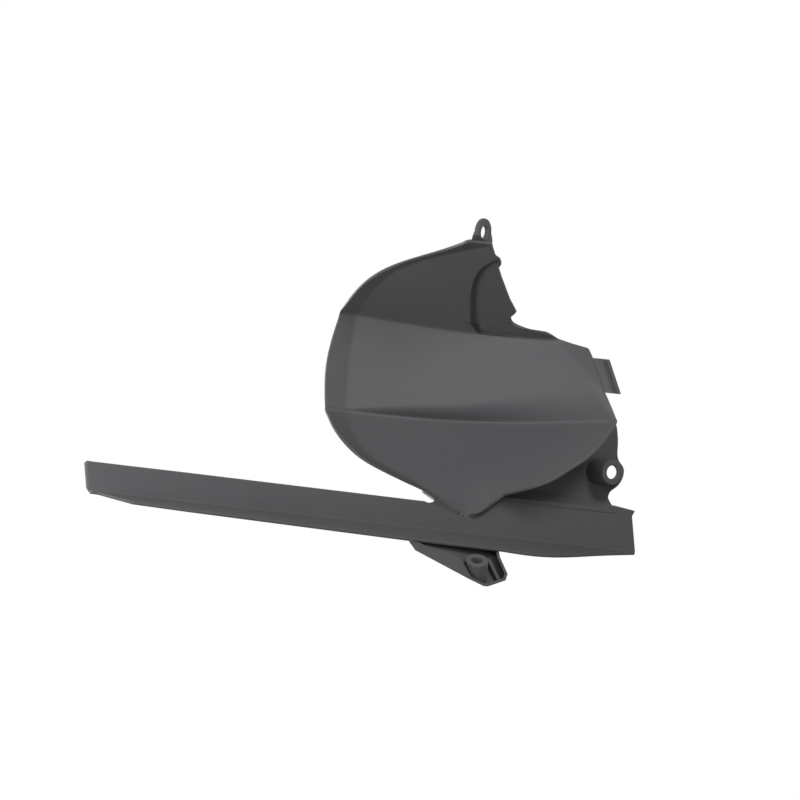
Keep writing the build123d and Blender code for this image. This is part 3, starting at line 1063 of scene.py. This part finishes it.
@dataclass(frozen=True)
class SideLug:
    """The hollow wedge outside the skirt, open at its front end, with a boss and a rib in the opening."""

    rim: Points = (
        (43, 118), (43, 123), (45, 126), (47, 128), (49, 130.5), (92, 148), (103, 152), (106, 152),
        (119, 146), (120, 141), (113, 129), (108, 113),
    )
    opening: Points = (
        (45, 117), (46, 122), (58, 127), (72, 129.5), (84, 133), (93, 146), (101, 149.5), (106, 149.5),
        (117, 144.5), (117.5, 141), (111, 129.5), (106, 113),
    )
    near: Points = ((47, 122.5, -159), (85, 133, -131), (92, 148, -137))
    far: Points = ((44, 126, -149), (112, 128, -85), (106, 152, -113))
    thickness: float = 2.7
    boss: tuple[float, float, float] = (96.0, 133.0, -127.0)
    boss_tilt: float = 33.0
    boss_radius: float = 8.6
    boss_hole: float = 4.3
    boss_sink: float = 0.6
    outer_run: tuple[int, int] = (4, 9)
    rib: Points = ((104, 131), (114, 147))
    rib_set_back: float = 4.0
    back_line: Points = ((46, 115), (76, 115), (106, 115))
    edge: float = 0.6
    nose: float = 0.4
    span: int = 8
    spokes: int = 180
    rings: int = 40

    def plane(self, corners: Points, q: Array, y: Array) -> Array:
        """Level of the plane through three corners over plan points.

        Args:
            corners: three tool-frame points.
            q: places along the plan.
            y: places across the wheel.

        Returns:
            One level per place.
        """
        table = np.array(corners, float)
        sides = np.stack([table[:, 0], table[:, 1], np.ones(3)], axis=-1)
        slopes = np.linalg.solve(sides, table[:, 2])
        return slopes[0] * q + slopes[1] * y + slopes[2]

    def build(self, guard: ChainGuard, material: bpy.types.Material) -> Pieces:
        """Add the wedge's rim and cover, its far plate, the boss and the rib.

        Each section of the rim is a closed line over the near and far planes, held out of the skirt.

        Args:
            guard: the chain guard whose skirt carries the lug.
            material: the finish.

        Returns:
            The rim, the plate, the boss and the rib.
        """
        rim, opening = dotted(self.rim, self.span), dotted(self.opening, self.span)
        heading = unit(np.gradient(rim, axis=0))
        inside = rim + np.stack([heading[:, 1], -heading[:, 0]], axis=-1) * WALL
        corners = []
        for line, plane, lift in (
            (opening, self.near, 0.0),
            (rim, self.near, 0.0),
            (rim, self.far, 0.0),
            (inside, self.far, 0.0),
            (inside, self.near, self.thickness),
            (opening, self.near, self.thickness),
        ):
            q, y = line.T
            level = np.maximum(self.plane(plane, q, y) + lift, guard.skirt_level(q, y))
            corners.append(from_tool(q, y, level))
        sections = rounded(np.stack(corners, axis=1), self.edge, True)
        return [
            capped(sections).add("side_lug_rim", material),
            self.add_plate((rim + inside) / 2, guard, material),
            self.add_boss(material),
            self.add_rib(material),
        ]

    def add_plate(
        self, line: Array, guard: ChainGuard, material: bpy.types.Material
    ) -> bpy.types.Object:
        """Add the far plate: rings from the bore to the middle of the rim's wall and a line in the skirt.

        Args:
            line: middle line of the rim's wall, in plan.
            guard: the chain guard whose skirt carries the lug.
            material: the finish.

        Returns:
            The plate.
        """
        hole = self.bore(self.boss_hole)[1][:, :2]
        centre = hole.mean(axis=0)
        edge = np.vstack([line, dotted(self.back_line, self.span)[::-1]])
        plan = spoked(hole - centre, edge - centre, self.spokes, self.rings) + centre
        q, y = np.moveaxis(plan, -1, 0)
        faces = []
        for lift in (-self.thickness, 0.0):
            buried = guard.skirt_level(q, y) + (lift + self.thickness / 2) / 2
            faces.append(from_tool(q, y, np.maximum(self.plane(self.far, q, y) + lift, buried)))
        return shell(*faces, self.nose, ring=True).add("side_lug_plate", material)

    def bore(self, radius: float) -> tuple[Array, Array]:
        """Rings of a tube about the boss's axis: at its near end, and where it meets the far plane.

        A point's way along the axis is its gap to the plane over what the gap loses in a millimetre. It
        is held to the middle of the wall along the rim's outer run.

        Args:
            radius: the tube's radius.

        Returns:
            Tool-frame points of the near and the far ring.
        """
        tilt = np.radians(self.boss_tilt)
        axis = np.array((0.0, np.cos(tilt), np.sin(tilt)))
        side = np.array((0.0, -np.sin(tilt), np.cos(tilt)))
        turns = turns_round(TURN_STEPS)[:, None]
        near = self.boss + radius * (np.cos(turns) * (1.0, 0.0, 0.0) + np.sin(turns) * side)
        gap, next_gap = (
            self.plane(self.far, *ring[:, :2].T) - ring[:, 2] - self.boss_sink
            for ring in (near, near + axis)
        )
        outer_q, outer_y = np.array(self.rim[slice(*self.outer_run)]).T
        limit = np.interp(near[:, 0], outer_q, outer_y) - WALL / 2
        reach = np.minimum(gap / (gap - next_gap), (limit - near[:, 1]) / axis[1])
        return near, near + axis * reach[:, None]

    def add_boss(self, material: bpy.types.Material) -> bpy.types.Object:
        """Add the boss: a tube along its axis that ends in the far plate.

        Args:
            material: the finish.

        Returns:
            The boss.
        """
        hole_near, hole_far = self.bore(self.boss_hole)
        side_near, side_far = self.bore(self.boss_radius)
        corners = np.stack([hole_near, side_near, side_far, hole_far], axis=1)
        rows = rounded(from_tool_rows(corners), self.edge, True)
        return ring_form(rows).add("side_lug_boss", material)

    def add_rib(self, material: bpy.types.Material) -> bpy.types.Object:
        """Add the rib: a wall along the draw over a straight plan line, set back from the near face.

        Args:
            material: the finish.

        Returns:
            The rib.
        """
        line = dotted(self.rib, self.span)
        heading = unit(line[-1] - line[0])
        across = np.array((-heading[1], heading[0])) * WALL / 2
        low = self.plane(self.near, *line.T) + self.rib_set_back
        high = self.plane(self.far, *line.T)
        level = np.linspace(low, high, self.span)
        faces = []
        for side in (-across, across):
            q, y = (np.broadcast_to(axis, level.shape) for axis in (line + side).T)
            faces.append(from_tool(q, y, level))
        return shell(*faces, self.nose).add("side_lug_rib", material)


class Value:
    """A material socket that takes part in arithmetic: each operator adds one Math node."""

    def __init__(self, graph: "Graph", socket: bpy.types.NodeSocket) -> None:
        """Keep the socket and the graph that new Math nodes go to."""
        self.graph = graph
        self.socket = socket

    def _math(self, operation: str, first: Any, second: Any) -> "Value":
        """One Math node on two values."""
        return self.graph.add("ShaderNodeMath", {"operation": operation}, {0: first, 1: second})

    def __add__(self, other: Any) -> "Value":
        """Sum of two values."""
        return self._math("ADD", self, other)

    def __radd__(self, other: Any) -> "Value":
        """Sum with the number first."""
        return self._math("ADD", other, self)

    def __sub__(self, other: Any) -> "Value":
        """Difference of two values."""
        return self._math("SUBTRACT", self, other)

    def __rsub__(self, other: Any) -> "Value":
        """Difference with the number first."""
        return self._math("SUBTRACT", other, self)

    def __mul__(self, other: Any) -> "Value":
        """Product of two values."""
        return self._math("MULTIPLY", self, other)

    def __rmul__(self, other: Any) -> "Value":
        """Product with the number first."""
        return self._math("MULTIPLY", other, self)

    def most(self, other: Any) -> "Value":
        """The greater of two values."""
        return self._math("MAXIMUM", self, other)


class Graph:
    """The node tree of one material or world, with a single method that adds nodes."""

    def __init__(self, owner: bpy.types.Material | bpy.types.World) -> None:
        """Start an empty tree in its owner.

        Args:
            owner: the material or world that the tree belongs to.
        """
        owner.use_nodes = True
        self.tree = owner.node_tree
        self.tree.nodes.clear()

    def node(self, kind: str, settings: dict[str, Any], sockets: dict[Any, Any]) -> bpy.types.Node:
        """Add a node, set its settings first and then the values or links of its sockets.

        Args:
            kind: the node's type name.
            settings: attributes of the node.
            sockets: input name or number to a value, a Value or a socket.

        Returns:
            The new node.
        """
        node = self.tree.nodes.new(kind)
        for key, setting in settings.items():
            setattr(node, key, setting)
        for key, given in sockets.items():
            given = given.socket if isinstance(given, Value) else given
            if isinstance(given, bpy.types.NodeSocket):
                self.tree.links.new(given, node.inputs[key])
            else:
                node.inputs[key].default_value = given
        return node

    def add(self, kind: str, settings: dict[str, Any], sockets: dict[Any, Any], output: Any = 0) -> Value:
        """Add a node, as node() does, and wrap one of its outputs, by its name or number."""
        return Value(self, self.node(kind, settings, sockets).outputs[output])


@dataclass(frozen=True)
class MouldedPlastic:
    """Unpainted black plastic with a fine eroded grain, slightly uneven in tone and gloss."""

    name: str = "black_moulded_plastic"
    dark: tuple[float, float, float, float] = (0.060, 0.061, 0.064, 1.0)
    pale: tuple[float, float, float, float] = (0.078, 0.078, 0.081, 1.0)
    roughness: float = 0.52
    gloss_spread: float = 0.10
    specular: float = 0.16
    flow_scale: float = 9.0
    flow_detail: float = 3.0
    grain_scale: float = 1600.0
    grain_detail: float = 2.0
    grain_depth: float = 0.00004

    def material(self) -> bpy.types.Material:
        """Build the material: a wide noise shifts its tone and gloss, and a fine one bumps it.

        Returns:
            A material on Object coordinates.
        """
        material = bpy.data.materials.new(self.name)
        graph = Graph(material)
        place = graph.add("ShaderNodeTexCoord", {}, {}, "Object")
        flow, grain = (
            graph.add("ShaderNodeTexNoise", {}, {"Vector": place, "Scale": scale, "Detail": detail}, "Fac")
            for scale, detail in (
                (self.flow_scale, self.flow_detail), (self.grain_scale, self.grain_detail)
            )
        )
        colour = graph.add(
            "ShaderNodeMix",
            {"data_type": "RGBA"},
            {"Factor": flow, "A": self.dark, "B": self.pale},
            "Result",
        )
        gloss = self.roughness + (flow - HALF) * self.gloss_spread
        bump = graph.add("ShaderNodeBump", {}, {"Height": grain, "Distance": self.grain_depth})
        shader = graph.add(
            "ShaderNodeBsdfPrincipled",
            {},
            {"Base Color": colour, "Roughness": gloss, "Specular IOR Level": self.specular, "Normal": bump},
        )
        graph.node("ShaderNodeOutputMaterial", {}, {"Surface": shader})
        return material


@dataclass(frozen=True)
class Lamp:
    """A square area lamp that faces the guard, placed along the camera's right, up and near axes."""

    name: str
    offset: tuple[float, float, float]
    size: float
    power: float


@dataclass(frozen=True)
class Studio:
    """Plain soft studio: pale floor below the camera, white surroundings, lamps and the photo's view."""

    floor_drop: float = 1.6
    floor_size: float = 20.0
    floor_colour: tuple[float, float, float, float] = (0.9, 0.9, 0.9, 1.0)
    floor_roughness: float = 0.8
    world_colour: tuple[float, float, float, float] = (1.0, 1.0, 1.0, 1.0)
    world_strength: float = 0.10
    view_width: float = 0.6
    distance: float = 1.2
    clip_end: float = 40.0
    aim: tuple[float, float, float] = (-0.1624, -0.0373, 0.0588)
    right: tuple[float, float, float] = (0.78368, -0.1045, -0.61227)
    up: tuple[float, float, float] = (-0.08235, -0.9945, 0.06434)
    lamps: tuple[Lamp, ...] = (
        Lamp("key", (0.60, 0.70, 0.90), 0.40, 10.5),
        Lamp("front", (0.00, 0.30, 1.40), 0.40, 6.0),
        Lamp("left", (-0.47, -0.02, 0.56), 0.40, 4.6),
        Lamp("sky", (-0.98, 0.10, -1.26), 1.20, 40.0),
    )

    def axes(self) -> Matrix:
        """Work out the camera's axes.

        Returns:
            Right, up and towards the camera, as columns.
        """
        right = Vector(self.right).normalized()
        up = Vector(self.up).normalized()
        return Matrix((right, up, right.cross(up))).transposed()

    def add_camera(self) -> None:
        """Stand the camera on the photo's line of sight, with parallel rays and the photo's width."""
        data = bpy.data.cameras.new("camera")
        data.type = "ORTHO"
        data.ortho_scale = self.view_width
        data.clip_end = self.clip_end
        camera = placed("camera", data)
        axes = self.axes()
        spot = Vector(self.aim) + axes.col[2] * self.distance
        camera.matrix_world = Matrix.Translation(spot) @ axes.to_4x4()
        bpy.context.scene.camera = camera

    def add_lamp(self, lamp: Lamp) -> None:
        """Hang one lamp so that it faces the guard.

        Args:
            lamp: its name, place, size and power.
        """
        data = bpy.data.lights.new(lamp.name, "AREA")
        data.shape = "SQUARE"
        data.size = lamp.size
        data.energy = lamp.power
        piece = placed(lamp.name, data)
        step = self.axes() @ Vector(lamp.offset)
        turn = step.to_track_quat("Z", "Y").to_matrix().to_4x4()
        piece.matrix_world = Matrix.Translation(Vector(self.aim) + step) @ turn

    def add_world(self) -> None:
        """Surround the guard with a world that looks white and lights it more weakly."""
        world = bpy.data.worlds.new("studio")
        bpy.context.scene.world = world
        graph = Graph(world)
        path = graph.node("ShaderNodeLightPath", {}, {})
        rays = ("Is Camera Ray", "Is Glossy Ray", "Is Transmission Ray")
        camera, glossy, through = (Value(graph, path.outputs[name]) for name in rays)
        strength = self.world_strength + camera.most(glossy).most(through) * (1 - self.world_strength)
        sky = graph.add("ShaderNodeBackground", {}, {"Color": self.world_colour, "Strength": strength})
        graph.node("ShaderNodeOutputWorld", {}, {"Surface": sky})

    def add_floor(self) -> None:
        """Lay the pale floor under the guard, behind the camera."""
        half = self.floor_size / 2
        level = CAD_BOX[0].z - self.floor_drop
        corners = [(-half, -half, level), (half, -half, level), (half, half, level), (-half, half, level)]
        mesh = bpy.data.meshes.new("floor")
        mesh.from_pydata(corners, [], [(0, 1, 2, 3)])
        floor = placed("floor", mesh)
        material = bpy.data.materials.new("pale_floor")
        graph = Graph(material)
        look = {"Base Color": self.floor_colour, "Roughness": self.floor_roughness}
        shader = graph.add("ShaderNodeBsdfPrincipled", {}, look)
        graph.node("ShaderNodeOutputMaterial", {}, {"Surface": shader})
        mesh.materials.append(material)

    def build(self) -> None:
        """Set up the view, the light and the floor."""
        bpy.context.scene.view_settings.view_transform = "Standard"
        self.add_world()
        self.add_floor()
        self.add_camera()
        for lamp in self.lamps:
            self.add_lamp(lamp)


def main() -> None:
    """Build the studio and the guard in order, report each piece and note the sizes."""
    logging.basicConfig(level=logging.INFO)
    Studio().build()
    plastic = MouldedPlastic().material()
    arch, guard = TyreArch(), ChainGuard()
    pieces = arch.build(plastic) + guard.build(plastic)
    for carried in (Bridge(), Web(), RearTab(), HoseClip()):
        pieces += carried.build(arch, plastic)
    pieces += SideLug().build(guard, plastic)
    for piece in pieces:
        log.info("%s: %d faces", piece.name, len(piece.data.polygons))


if __name__ == "__main__":
    main()
